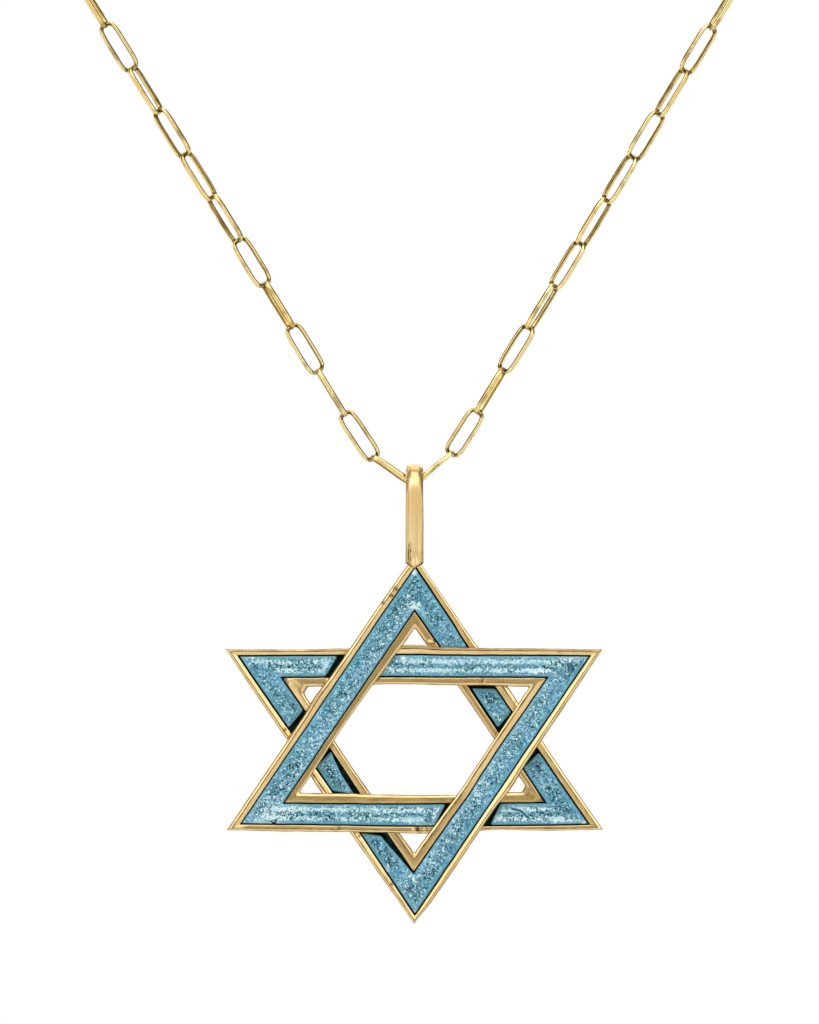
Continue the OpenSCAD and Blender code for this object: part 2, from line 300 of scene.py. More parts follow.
def newFinish(name):
    finish = bpy.data.materials.new(name)
    finish.use_nodes = True
    tree = finish.node_tree
    return finish, tree, tree.nodes["Principled BSDF"].inputs, addNode(tree, "TexCoord").outputs["Object"]


def readMask(tree, name):
    return addNode(tree, "Attribute", attribute_name=name).outputs["Fac"]


def goldFinish(name, tint, ripple):
    finish, tree, skin, place = newFinish(name)
    polish = useGroup(tree, "polish", {"Vector": place, "Ripple": ripple})
    shadeLines = useGroup(tree, "shadeAndGrime", {"Vector": place, "Amount": readMask(tree, "shadeAndGrime")})
    colour = blendColour(tree, polish["Tint"], tint["pale"], tint["warm"])
    # painted shade: one mask paints khaki on faces that stand in for darker reflections, with some tarnish;
    # the other paints dark lines of painted shade, with some old polish
    colour = blendColour(tree, readMask(tree, "shadeAndTarnish"), colour, tint["khaki"])
    colour = blendColour(tree, shadeLines["Mask"], colour, tint["line"])
    rough = plus(tree, polish["Rough"], times(tree, readMask(tree, "satin"), 0.24))
    bump = addNode(tree, "Bump", {"Height": polish["Height"], "Strength": 0.35, "Distance": 0.00002})
    fillInputs(tree, skin, {"Base Color": colour, "Roughness": rough, "Normal": bump.outputs[0],
                            "Metallic": 1.0})
    return finish


def channelShadeFinish(tint):
    # painted shade: the walls and bottom of the channels painted near-black and dark green, for the shade
    # in the gaps beside the enamel
    finish, tree, skin, place = newFinish("channelPaintedShade")
    patches = smoothStep(tree, grain(tree, place, 1900, 2.0), 0.40, 0.66)
    colour = blendColour(tree, patches, tint["black"], tint["green"])
    fillInputs(tree, skin, {"Base Color": colour, "Roughness": 0.6, "Specular IOR Level": 0.08})
    return finish


def enamelFinish():
    finish, tree, skin, place = newFinish("foilEnamel")
    foil = useGroup(tree, "foil", {"Vector": place, "Rim": readMask(tree, "rim"),
                                   "Level": readMask(tree, "level"), "Pale": readMask(tree, "pale")})
    bump = addNode(tree, "Bump", {"Height": foil["Height"], "Strength": 0.4, "Distance": 0.00004})
    fillInputs(tree, skin, {"Base Color": foil["Colour"], "Roughness": foil["Rough"],
                            "Normal": bump.outputs[0], "Metallic": 0.1, "Specular IOR Level": 0.3,
                            "Coat Weight": 0.15, "Coat Roughness": 0.12})
    return finish


starTint = {"pale": (0.96, 0.76, 0.40, 1), "warm": (0.95, 0.69, 0.33, 1),
            "khaki": (0.55, 0.38, 0.14, 1), "line": (0.12, 0.055, 0.015, 1)}
chainTint = {"pale": (1.0, 0.87, 0.45, 1), "warm": (1.0, 0.76, 0.32, 1),
             "khaki": (0.42, 0.29, 0.07, 1), "line": (0.09, 0.050, 0.008, 1)}
channelShadeTint = {"black": (0.003, 0.011, 0.008, 1), "green": (0.006, 0.055, 0.040, 1)}
starGold = goldFinish("starGold", starTint, 520)    # the last value is how fine the polish ripples
chainGold = goldFinish("chainGold", chainTint, 700)
channelShade = channelShadeFinish(channelShadeTint)
foilEnamel = enamelFinish()
print("finishes ready")


def finishPiece(bm, name, body, finishes, replaced):
    # a mesh in metres becomes a piece that rides on its body
    for face in bm.faces:
        face.smooth = True
    mesh = bpy.data.meshes.new(name)
    bm.to_mesh(mesh)
    bm.free()
    for finish in finishes:
        mesh.materials.append(finish)
    piece = bpy.data.objects.new(name, mesh)
    bpy.context.scene.collection.objects.link(piece)
    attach(piece, body)
    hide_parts(replaced)
    print(name, len(mesh.vertices), "points")


def newVerts(made):
    return [item for item in made if isinstance(item, bmesh.types.BMVert)]


def newEdges(made):
    return [item for item in made if isinstance(item, bmesh.types.BMEdge)]


def edgesAt(verts):
    return list({e for v in verts for e in v.link_edges})


def floatLayers(bm, *names):
    return {name: bm.verts.layers.float.new(name) for name in names}


def ease(x):
    x = min(max(x, 0.0), 1.0)
    return x * x * (3 - 2 * x)


def tableAt(rows, at):
    # a table's columns at one place along it, eased from row to row; the first column is the place
    if at <= rows[0][0]:
        return rows[0][1:]
    for before, after in zip(rows, rows[1:]):
        if at <= after[0]:
            share = ease((at - before[0]) / (after[0] - before[0]))
            return [a + (b - a) * share for a, b in zip(before[1:], after[1:])]
    return rows[-1][1:]


# the star, in millimetres, in the same sizes as the solid model
star = {"width": 34, "height": 24.75, "flatOff": 8.15, "band": 3.35, "thick": 1.7, "turn": 4.2,
        "pivotRise": 5.9, "cuts": 170, "rim": 0.62, "innerRim": 2.73, "edge": 0.05, "ridge": 0.26,
        "step": 3.14, "innerEdge": 3.30, "edgeSlope": 45, "wobble": 0.016}

halfW = star["width"] / 2
slant = math.hypot(halfW, star["height"])
inRadius = halfW * star["height"] / (halfW + slant)
apexZ = star["height"] - star["flatOff"]
incentre = Vector((0, 0, inRadius - star["flatOff"]))
starCentre = pivot - Vector((0, 0, (star["pivotRise"] + apexZ) * mm))

# the three sides of a triangle that points up: a point on the side, the way in and the way along
sides = [(Vector((0, 0, -star["flatOff"])), Vector((0, 0, 1)), Vector((1, 0, 0))),
         (Vector((0, 0, apexZ)), Vector((-star["height"], 0, -halfW)) / slant,
          Vector((halfW, 0, -star["height"])) / slant),
         (Vector((0, 0, apexZ)), Vector((star["height"], 0, -halfW)) / slant,
          Vector((-halfW, 0, -star["height"])) / slant)]
cornerPoints = [Vector((0, 0, apexZ)), Vector((-halfW, 0, -star["flatOff"])),
                Vector((halfW, 0, -star["flatOff"]))]

# how far the hand-made bands stray from straight, inwards, for each way and side: the place along
# the side, then the outer edge, the two edges of the enamel and the edge of the hole
stray = {
    (1, 0): [(-17, 0.02, -0.08, -0.16, 0.02), (-11, -0.10, -0.14, -0.22, 0.02),
             (-7, -0.14, -0.20, -0.27, 0), (-3, -0.20, -0.28, -0.30, -0.14),
             (0.5, -0.30, -0.31, -0.30, -0.20), (4, -0.18, -0.30, -0.26, -0.16),
             (7.5, 0.03, -0.27, -0.22, 0.04), (12, -0.05, -0.24, -0.20, 0.10),
             (17, 0.02, -0.14, -0.18, 0.10)],
    (1, 1): [(0, 0.02, -0.12, 0.20, 0.34), (6.5, 0.04, -0.06, 0.18, 0.34), (9, 0.04, 0.05, 0.14, 0.22),
             (12.5, -0.08, 0.08, 0.06, 0.08), (15, -0.18, 0.11, 0.10, 0.08), (18, -0.06, 0.10, 0.12, 0.10),
             (21, 0.03, 0.09, 0.20, 0.15), (24, 0.06, 0.10, 0.24, 0.15), (30, 0.02, 0.08, 0.22, 0.18)],
    (1, 2): [(0, 0.02, -0.06, 0.10, 0.34), (2.5, -0.08, -0.07, 0.10, 0.34), (6.5, -0.10, -0.11, 0.12, 0.34),
             (9.5, -0.08, -0.08, 0.10, 0.22), (13, -0.10, -0.05, 0.12, 0.08),
             (15.5, -0.22, -0.03, 0.12, 0.04), (18, -0.08, 0, 0.12, 0.06), (21, -0.02, 0.01, 0.16, 0.12),
             (30, 0.02, 0.06, 0.22, 0.16)],
    (-1, 0): [(-17, 0.02, -0.08, -0.08, 0.02), (-10, -0.08, -0.13, -0.14, 0.03),
              (-6, -0.10, -0.13, -0.15, -0.08), (-3, -0.16, -0.15, -0.14, -0.10),
              (0, -0.38, -0.20, -0.17, -0.18), (2.5, -0.30, -0.20, -0.17, -0.18),
              (6, -0.06, -0.12, -0.14, -0.02), (10, 0.04, -0.11, -0.12, 0.04),
              (17, 0.02, -0.06, -0.08, 0.06)],
    (-1, 1): [(0, 0.04, -0.14, -0.04, 0.24), (6.5, -0.04, -0.07, -0.05, 0.24),
              (9, -0.08, -0.03, -0.05, 0.12), (12.5, -0.10, 0, -0.06, 0.04), (15, -0.18, 0.01, 0, 0.02),
              (18, -0.08, -0.02, 0.02, 0.06), (22, -0.06, -0.07, 0.08, 0.16),
              (24, -0.06, -0.09, 0.06, 0.34), (26, -0.06, -0.10, 0.06, 0.26),
              (30, 0.02, -0.08, 0.06, 0.14)],
    (-1, 2): [(0, 0.04, -0.26, -0.04, 0.22), (3, -0.14, -0.26, -0.04, 0.22),
              (6.5, -0.16, -0.22, -0.04, 0.22), (9.5, -0.12, -0.20, -0.08, 0.12),
              (12.5, -0.12, -0.19, -0.15, 0.02), (15, -0.26, -0.19, -0.06, 0.05),
              (18, -0.12, -0.15, 0, 0.09), (22, -0.09, -0.12, -0.03, 0.13),
              (30, 0.02, -0.08, -0.04, 0.13)]}
strayInsets = [0, star["rim"], star["innerRim"], star["band"]]
strayReach = 1.6     # how far from a mitre one side's straying still moves the other


def plateMatrix(way):
    # from flat millimetres to the star's place; way is 1 for the triangle that points up
    turn = Matrix.Rotation(math.radians(star["turn"]) * way, 4, "Z")
    upside = Matrix.Rotation(0 if way > 0 else math.pi, 4, "Y")
    return Matrix.Translation(starCentre) @ turn @ upside @ Matrix.Scale(mm, 4)


def sidePlace(p, side):
    # how far in from a side a point is and how far along it
    gap = Vector((p.x, 0, p.z)) - sides[side][0]
    return gap.dot(sides[side][1]), gap.dot(sides[side][2])


def nearSides(p):
    # the nearest side and the one after it, each with its inset, number and place along
    found = []
    for side in range(3):
        inset, along = sidePlace(p, side)
        found.append((inset, side, along))
    found.sort()
    return found[0], found[1]


def startRing(bm, inset, cuts):
    # the triangle moved in by inset, as one closed ring of edges
    ratio = (inRadius - inset) / inRadius
    corners = [bm.verts.new(incentre + (corner - incentre) * ratio) for corner in cornerPoints]
    edges = [bm.edges.new((corners[i], corners[(i + 1) % 3])) for i in range(3)]
    fine = bmesh.ops.subdivide_edges(bm, edges=edges, cuts=cuts)["geom_split"]
    ring = newEdges(fine)
    return ring, list({v for edge in ring for v in edge.verts})


def nextRing(bm, ring, fromInset, toInset):
    made = bmesh.ops.extrude_edge_only(bm, edges=ring)["geom"]
    ratio = (inRadius - toInset) / (inRadius - fromInset)
    bmesh.ops.scale(bm, vec=(ratio, 1, ratio), space=Matrix.Translation(-incentre), verts=newVerts(made))
    return newEdges(made), newVerts(made)


def straying(way, side, inset, along):
    shifts = tableAt(stray[(way, side)], along)
    wave = noise.noise(Vector((along * 0.8, way * 20 + side * 7, 3 * round(inset))))
    return float(np.interp(inset, strayInsets, shifts)) + star["wobble"] * wave


def handMade(p, way):
    # moves a flat point the way the hand-made band strays there, closed up at the mitres
    (inset, side, along), (otherInset, other, otherAlong) = nearSides(p)
    own = straying(way, side, inset, along)
    share = ease(1 - (otherInset - inset) / strayReach)
    if share == 0:
        return p + sides[side][1] * own
    cross = sides[side][1].dot(sides[other][1])
    late = share * (straying(way, other, inset, otherAlong) - cross * own) / (1 - cross * cross)
    return p + sides[side][1] * (own - late * cross) + sides[other][1] * late


# gap from each end of the enamel to the band that crosses over it, at the enamel's outer and inner
# border: above and below the other triangle's flat side, then inside and outside its slanted side at
# the upper and the lower crossing
crossGaps = {1: {"above": (0.12, 0.12), "below": (0.12, 0.14), "innerHigh": (0.20, 0.42),
                 "outerHigh": (0.45, 0.12), "innerLow": (0.34, 0.60), "outerLow": (0.34, 0.04)},
             -1: {"above": (0.14, 0.14), "below": (0.10, 0.10), "innerHigh": (0.10, 0.42),
                  "outerHigh": (0.44, 0.28), "innerLow": (0.05, 0.05), "outerLow": (0.42, 0.24)}}
slantOut = Vector((star["height"], 0, -halfW)) / slant
slantPoint = Vector((halfW, 0, star["flatOff"]))
lowHigh = -3.0     # between the lower and the upper crossing of the slanted side
far = 99.0         # beyond the star


def overStrips(way):
    # strips that the other triangle covers: way across, a point, start, end, the heights they count
    # for, and how much wider the gap is at the enamel's outer and inner border, at start and end
    gaps = crossGaps[way]
    flat = Vector((0, 0, 1))
    found = []
    crossings = ((flat, flat * star["flatOff"], -far, far, "below", "above"),
                 (slantOut, slantPoint, lowHigh, far, "innerHigh", "outerHigh"),
                 (slantOut, slantPoint, -far, lowHigh, "innerLow", "outerLow"))
    for across, point, low, high, first, last in crossings:
        least = min(gaps[first]), min(gaps[last])
        more = [[gap - near for gap in gaps[name]] for name, near in zip((first, last), least)]
        found.append({"across": across, "point": point, "start": -star["band"] - least[0],
                      "end": least[1], "low": low, "high": high, "more": more})
    return found


def stripPlace(p, strip):
    # how far a flat point lies across a strip, if the strip counts there
    if p.x < 0 or not strip["low"] < p.z < strip["high"]:
        return None
    return (Vector((p.x, 0, p.z)) - strip["point"]).dot(strip["across"])


# section of a band: distance in from the outer edge, depth in front of the middle (None where a
# face of the rim sets it), extra depth, the painted shade lines that lie there (with some old polish),
# and which face it belongs to
bandSection = [(0.00, None, 0, 0.9, ""), (0.05, None, 0, 0.8, ""), (0.07, None, 0, 0, "outer"),
               (0.14, None, 0, 0, "outer"), (0.21, None, 0, 0, "outer"), (0.225, None, 0, 0.9, "outer"),
               (0.26, None, -0.02, 1.0, ""), (0.285, None, 0, 0.9, "middle"), (0.30, None, 0, 0, "middle"),
               (0.45, None, 0, 0, "middle"), (0.585, None, 0, 0, "middle"),
               (0.605, None, -0.006, 0.3, "middle"), (0.62, None, -0.03, 0.9, "wall"),
               (0.625, 0.24, 0, 1, "wall"), (0.66, 0.21, 0, 1, "wall"),
               (2.69, 0.21, 0, 1, "wall"), (2.725, 0.24, 0, 1, "wall"),
               (2.73, None, -0.03, 0.9, "wall"), (2.745, None, -0.006, 0.3, "inner"),
               (2.765, None, 0, 0, "inner"), (2.90, None, 0, 0, "inner"), (3.03, None, 0, 0, "inner"),
               (3.125, None, 0, 0.15, "inner"), (3.14, None, 0, 0.5, "inner"),
               (3.16, None, 0, 0, "hole"), (3.22, None, 0, 0, "hole"), (3.28, None, 0, 0, "hole"),
               (3.31, None, 0, 0.9, ""), (3.35, None, 0, 1, ""), (3.35, 0.35, 0, 0.4, ""),
               (3.35, -0.66, 0, 0.12, ""), (3.31, -0.79, 0, 0, ""), (3.20, -0.85, 0, 0, ""),
               (2.2, -0.85, 0, 0, ""), (1.1, -0.85, 0, 0, ""), (0.14, -0.85, 0, 0, ""),
               (0.04, -0.79, 0, 0, ""), (0.00, -0.66, 0, 0.12, ""), (0.00, 0.35, 0, 0.4, "")]

# how the rims look along each way and side: the place along the side, then the slopes in degrees of
# the outer rim's two faces and the inner rim's two, from outside in, and how much painted shade each of the
# four carries (khaki standing in for a darker reflection)
rimLook = {(1, 0): [(-17, 13, 3, 2, 15, 0, 0.3, 0.75, 0), (17, 13, 3, 2, 15, 0, 0.3, 0.75, 0)],
           (1, 1): [(0, 10, 5, 0, 12, 0, 0.35, 0.4, 0), (18, 10, 4, 0, 10, 0, 0.3, 0.45, 0.2),
                    (30, 12, 4, 0, 12, 0, 0.5, 0.4, 0)],
           (1, 2): [(0, 15, 14, 2, 15, 0, 0, 0.5, 0), (30, 15, 14, 2, 15, 0, 0, 0.5, 0)],
           (-1, 0): [(-17, 4, 14, 2, 14, 0.1, 0, 0.4, 0), (17, 4, 14, 3, 13, 0.1, 0, 0.4, 0)],
           (-1, 1): [(0, 12, 9, 3, 15, 0, 0.1, 0.2, 0), (12, 10, 15, 1, 14, 0, 0, 0.35, 0.1),
                     (18, 10, 15, 2, 15, 0, 0, 0.3, 0), (22, 10, 15, 12, 15, 0, 0, 0, 0)],
           (-1, 2): [(0, 15, 13, 2, 12, 0, 0, 0.4, 0), (11, 15, 13, 2, 12, 0, 0, 0.5, 0),
                     (15, 15, 13, 15, 10, 0, 0, 0, 0), (30, 15, 13, 15, 10, 0, 0, 0, 0)]}
# the line along the step is painted shade
stepLines = {(-1, 1): 0.5, (-1, 2): 0.95}    # sides whose inner rim shows a line along its step
holeCorners = {1: [0.12, 0.12, 0.55], -1: [0.15, 0.12, 0.50]}    # corner radii: tip, left, right

# small knocks in the rims, each also painted darker inside as painted shade: side, place along it, distance
# in, radius, depth
knocks = {1: [(0, 0.2, 0.36, 0.42, 0.17), (0, 1.05, 0.40, 0.30, 0.14), (0, 1.7, 0.34, 0.22, 0.09),
              (0, -6.9, 0.35, 0.20, 0.05), (2, 3.5, 0.42, 0.30, 0.09), (2, 4.2, 0.42, 0.26, 0.08),
              (2, 5.2, 0.20, 0.20, 0.05)],
          -1: [(0, -13.2, 0.30, 0.22, 0.05), (1, 21.0, 0.35, 0.25, 0.06), (0, -6.2, 3.0, 0.25, 0.05),
               (1, 4.1, 0.42, 0.28, 0.05), (1, 9.3, 0.40, 0.25, 0.06)]}

# unevenness of the rims: how much streaks dull them, how wavy their height is, how far over a mitre
# the two sides' looks blend, and how far under a crossing band they are sunk out of sight
rimWear = {"streak": 0.7, "wave": 0.014, "blend": 0.9, "sunk": -0.1, "cover": 0.35, "slide": 0.25}


def rimDepth(inset, look):
    # how far a point of the rim lies in front of the band's middle
    top = star["thick"] / 2
    outer, middle, inner, hole = (math.tan(math.radians(a)) for a in look[:4])
    edge = math.tan(math.radians(star["edgeSlope"]))
    if inset < star["ridge"]:
        rounded = max(0, star["edge"] - inset) * edge
        return top - (star["ridge"] - max(inset, star["edge"])) * outer - rounded
    if inset < star["band"] / 2:
        return top - (inset - star["ridge"]) * middle
    if inset < star["step"]:
        return top - (star["step"] - inset) * inner
    rounded = max(0, inset - star["innerEdge"]) * edge
    return top - (min(inset, star["innerEdge"]) - star["step"]) * hole - rounded


def roundHoleCorner(p, inset, radii):
    # moves a point near a corner of the hole onto that corner's arc
    ratio = (inRadius - inset) / inRadius
    for corner, radius in zip(cornerPoints, radii):
        tip = incentre + (corner - incentre) * ratio
        arms = [(incentre + (other - incentre) * ratio - tip).normalized()
                for other in cornerPoints if other is not corner]
        half = arms[0].angle(arms[1]) / 2
        reach = radius / math.tan(half)
        gap = Vector((p.x, 0, p.z)) - tip
        if gap.length < reach:
            arm = max(arms, key=lambda a: a.dot(gap))
            inwards = (arms[0] + arms[1]).normalized()
            across = (arm - inwards * arm.dot(inwards)).normalized()
            turn = (math.pi / 2 - half) * gap.length / reach
            middle = tip + inwards * radius / math.sin(half)
            return middle - radius * (inwards * math.cos(turn) - across * math.sin(turn))
    return p


def bandRings(bm, layers):
    # one triangular band of the star, closed all round, still flat and in millimetres
    ring, verts = startRing(bm, bandSection[0][0], star["cuts"])
    firstRing, rows = ring, [verts]
    for before, row in zip(bandSection, bandSection[1:]):
        ring, verts = nextRing(bm, ring, before[0], row[0])
        rows.append(verts)
    bmesh.ops.bridge_loops(bm, edges=firstRing + ring)
    for number, verts in enumerate(rows):
        for v in verts:
            v[layers["row"]] = number
            v[layers["shadeAndGrime"]] = bandSection[number][3]
    return [v for verts in rows for v in verts]


def shapeBand(verts, way, layers):
    shadeColumns = {"outer": 4, "middle": 5, "inner": 6, "hole": 7}    # in a row of rimLook
    strips = overStrips(way)
    for v in verts:
        inset, depth, extra, shadeAndGrime, face = bandSection[v[layers["row"]]]
        (own, side, along), (otherInset, other, otherAlong) = nearSides(v.co)
        look = tableAt(rimLook[(way, side)], along)
        mitre = ease(1 - (otherInset - own) / rimWear["blend"]) / 2
        if mitre > 0:
            otherLook = tableAt(rimLook[(way, other)], otherAlong)
            look = [a + (b - a) * mitre for a, b in zip(look, otherLook)]
        front = depth is None
        if front:
            depth = rimDepth(inset, look) + extra
            # painted shade: each rim face is painted khaki by its rimLook value, with random streaks on top
            if face in shadeColumns:
                streak = noise.noise(Vector((along * 0.7, way * 5 + side, 6 * inset)))
                v[layers["shadeAndTarnish"]] = look[shadeColumns[face]] + rimWear["streak"] * max(0, streak - 0.05)
            # a painted shade line along the inner rim's step
            if abs(inset - star["step"]) < 0.03:
                v[layers["shadeAndGrime"]] = max(shadeAndGrime, stepLines.get((way, side), 0))
            depth += rimWear["wave"] * noise.noise(Vector((along * 0.6, way * 9 + side, 80 + inset * 2)))
        for strip in strips:
            s = stripPlace(v.co, strip)
            if s is not None:
                covered = min(s - strip["start"], strip["end"] - s) - rimWear["cover"]
                depth += (min(depth, rimWear["sunk"]) - depth) * ease(covered / rimWear["slide"])
        for knockSide, knockAlong, knockInset, radius, deep in knocks[way]:
            if front and side == knockSide:
                away = math.hypot(along - knockAlong, inset - knockInset) / radius
                if away < 1:
                    depth -= deep * (1 - away * away) ** 2
                    # the dent is painted darker, painted shade in it
                    v[layers["shadeAndGrime"]] = max(v[layers["shadeAndGrime"]], min(1, 1.3 * (1 - away)))
        if inset > star["innerRim"]:
            v.co = roundHoleCorner(v.co, inset, holeCorners[way])
        v.co = handMade(v.co, way)
        v.co.y = -depth


# the bail, in millimetres from the swing line; front is towards the camera
bail = {"width": 1.56, "thick": 0.5, "back": 0.06, "inner": 1.82, "leg": 4.5, "stand": 0.1,
        "sectionSides": 72, "arcSteps": 30, "legSteps": 44, "flatness": 2.8, "footTilt": 5,
        "turnFrom": 0.20, "turnOver": 0.50, "blockWide": 0.9, "blockHigh": 2.0, "blockDown": 0.95,
        "blockEdge": 0.08}
# its wear, painted shade and painted highlights: heights above the swing line, places across, and how
# strong each mark is
bailWearAndShade = {"streak": 0.5, "wider": 0.035, "wobble": 0.014, "middle": 0.05, "edgeShade": 0.75,
            "sideShade": 0.35, "lightTaper": 0.27, "lightShine": 0.8, "capBottom": 1.6, "capShade": 0.45,
            "capLine": 1.76, "capShadeLine": 0.5, "footTop": -4.4, "groove": -0.44, "grooveHalf": 0.10,
            "grooveDeep": 0.045, "grooveShade": 0.9, "flameTop": -5.5, "flameTaper": 0.28, "flameRise": 0.24,
            "soleTop": -6.75, "pointTop": -6.2, "pointRise": 0.26}


def wearAndShadeBail(verts, layers):
    # worn uneven by hand, wider below the head, with a groove and a raised flame at the foot; dark edges,
    # lines under the cap, in the groove and round the foot are painted shade, and the light under the head
    # and the flame are painted highlights
    wear = bailWearAndShade
    for v in verts:
        front = v.co.y < 0
        x, z = v.co.x, v.co.z
        edge = abs(x) / (bail["width"] / 2)
        offMiddle = abs(x - wear["middle"])
        streak = noise.noise(Vector((x * 4.5, 0.10 * z, 5)))
        v[layers["shadeAndGrime"]] = 0.0
        v[layers["satin"]] = 1.0
        v[layers["shadeAndTarnish"]] = max(0, 0.08 + wear["streak"] * streak)
        wide = 1 + wear["wider"] * ease((-z - 0.5) / 1.5)
        # painted shade along the strap's edges and on a line beside the left edge, and a painted highlight
        # on the left edge itself
        if edge > 0.93 and z < 0.9:
            v[layers["shadeAndGrime"]] = wear["edgeShade"]
        elif 0.66 < edge < 0.74 and x < 0 and z < 0.6:
            v[layers["shadeAndGrime"]] = wear["sideShade"]
        elif edge > 0.72 and x < 0:
            v[layers["shadeAndTarnish"]] = 0.0
        if front and z > -1:
            # a painted highlight that tapers down from under the head: less khaki and a glossier skin there
            inLight = ease((wear["lightTaper"] * (z + 0.5) - offMiddle) / 0.08 + 0.5)
            v[layers["shadeAndTarnish"]] = (v[layers["shadeAndTarnish"]] + 0.15 * ease(z + 1)) * (1 - inLight)
            v[layers["satin"]] = 1 - wear["lightShine"] * inLight * ease((z - 0.2) / 0.6)
        # painted shade: the cap is painted darker, with a dark line under it
        if z > wear["capBottom"]:
            v[layers["shadeAndTarnish"]] = wear["capShade"]
        if front and abs(z - wear["capLine"]) < 0.07:
            v[layers["shadeAndGrime"]] = wear["capShadeLine"]
        # at the foot: a real groove with painted shade in it, the foot painted darker round a raised flame
        # that is painted bright, and painted shade along the sole
        if front and z < wear["footTop"] and edge < 0.97:
            fade = ease((wear["footTop"] - 0.1 - z) / 0.5)
            groove = abs(x - wear["groove"] + 0.03 * math.sin(z * 4)) / wear["grooveHalf"]
            v.co.y += wear["grooveDeep"] * fade * max(0, 1 - groove)
            if 0.3 < groove < 1.25:
                v[layers["shadeAndGrime"]] = max(v[layers["shadeAndGrime"]], wear["grooveShade"] * fade)
            flame = wear["flameTaper"] * (wear["flameTop"] - z)
            v[layers["shadeAndTarnish"]] += 0.25 * ease((wear["flameTop"] + 0.3 - z) / 0.6)
            if offMiddle < flame:
                v.co.y -= wear["flameRise"] * (flame - offMiddle)
                v[layers["satin"]] = 0.2
                v[layers["shadeAndTarnish"]] = 0.0
            if z < wear["soleTop"] and edge > 0.15:
                v[layers["shadeAndGrime"]] = 1.0
        v.co.z += wear["pointRise"] * edge * ease((wear["pointTop"] - z) / 0.7)
        v.co.x = x * wide + wear["wobble"] * noise.noise(Vector((z * 0.5, 3, 1 if x > 0 else 2)))


def buildBail(bm, layers):
    before = set(bm.verts)
    reach = bail["inner"] + bail["thick"]
    foot = star["thick"] / 2 + bail["stand"]
    lean = math.asin(reach / math.hypot(foot, bail["leg"])) - math.atan(foot / bail["leg"])
    footEnd = star["pivotRise"] + bail["width"] / 2 * star["height"] / halfW
    verts = bmesh.ops.create_circle(bm, cap_ends=False, segments=bail["sectionSides"],
                                    radius=bail["width"] / 2)["verts"]
    ring = edgesAt(verts)
    for v in verts:
        # a strap with a nearly flat front and soft edges
        across = min(abs(v.co.x) / (bail["width"] / 2), 1)
        swell = (1 - across ** bail["flatness"]) ** 0.5
        v.co.y = -swell * (bail["thick"] - bail["back"]) if v.co.y < 0 else swell * bail["back"]
    bmesh.ops.translate(bm, vec=(0, -bail["inner"] - bail["back"], 0), verts=verts)
    bmesh.ops.rotate(bm, cent=(0, 0, 0), matrix=Matrix.Rotation(lean, 3, "X"), verts=verts)
    bmesh.ops.spin(bm, geom=verts + ring, cent=(0, 0, 0), axis=(1, 0, 0),
                   angle=-(math.pi / 2 + lean), steps=bail["arcSteps"] // 2, use_merge=False)
    # down the leg: it leans in, then straightens towards the foot
    current, tilt = ring, lean
    outside = Vector((0, -reach * math.cos(lean), -reach * math.sin(lean)))
    stepLength = (footEnd + outside.z) / bail["legSteps"]
    for step in range(bail["legSteps"]):
        turned = ease(((step + 1) / bail["legSteps"] - bail["turnFrom"]) / bail["turnOver"])
        wanted = lean + (math.radians(bail["footTilt"]) - lean) * turned
        made = bmesh.ops.extrude_edge_only(bm, edges=current)["geom"]
        bmesh.ops.rotate(bm, cent=outside, matrix=Matrix.Rotation(wanted - tilt, 3, "X").inverted(),
                         verts=newVerts(made))
        move = Vector((0, math.tan(wanted) * stepLength, -stepLength))
        bmesh.ops.translate(bm, vec=move, verts=newVerts(made))
        outside += move
        tilt = wanted
        current = newEdges(made)
    print("bail foot at", round(-outside.y, 3), "wanted", foot)
    bmesh.ops.holes_fill(bm, edges=current, sides=0)
    mine = [v for v in bm.verts if v not in before]
    geom = mine + edgesAt(mine) + list({f for v in mine for f in v.link_faces})
    bmesh.ops.mirror(bm, geom=geom, matrix=Matrix.Identity(4), merge_dist=0.002, axis="Y")
    # the block between the legs, with the star's tip inside it
    block = bmesh.ops.create_cube(bm, size=1)["verts"]
    size = (bail["width"] * bail["blockWide"], 2 * foot - bail["thick"], bail["blockHigh"])
    bmesh.ops.scale(bm, vec=size, verts=block)
    bmesh.ops.translate(bm, vec=(0, 0, -bail["leg"] - bail["blockDown"]), verts=block)
    bmesh.ops.bevel(bm, geom=edgesAt(block), offset=bail["blockEdge"], segments=3, profile=0.5,
                    affect="EDGES", material=-1)
    mine = [v for v in bm.verts if v not in before]
    wearAndShadeBail(mine, layers)
    bmesh.ops.transform(bm, matrix=Matrix.Translation(pivot) @ Matrix.Scale(mm, 4), verts=mine)


# a drop of solder in the hole below the tip: its middle, sizes, dark foot and dull skin
solder = {"x": 1.40, "y": -0.84, "z": 8.80, "wide": 0.43, "deep": 0.22, "high": 0.26,
          "foot": -0.5, "shadeAndTarnish": 0.5}


def addSolder(bm, layers):
    drop = bmesh.ops.create_icosphere(bm, subdivisions=4, radius=1)["verts"]
    for v in drop:
        v[layers["shadeAndGrime"]] = 0.8 if v.co.z < solder["foot"] else 0.0
        v[layers["shadeAndTarnish"]] = solder["shadeAndTarnish"]
        v.co *= 1 + 0.10 * noise.noise(v.co * 1.3)
    bmesh.ops.scale(bm, vec=(solder["wide"], solder["deep"], solder["high"]), verts=drop)
    bmesh.ops.translate(bm, vec=(solder["x"], solder["y"], solder["z"]), verts=drop)
    bmesh.ops.transform(bm, matrix=plateMatrix(1), verts=drop)


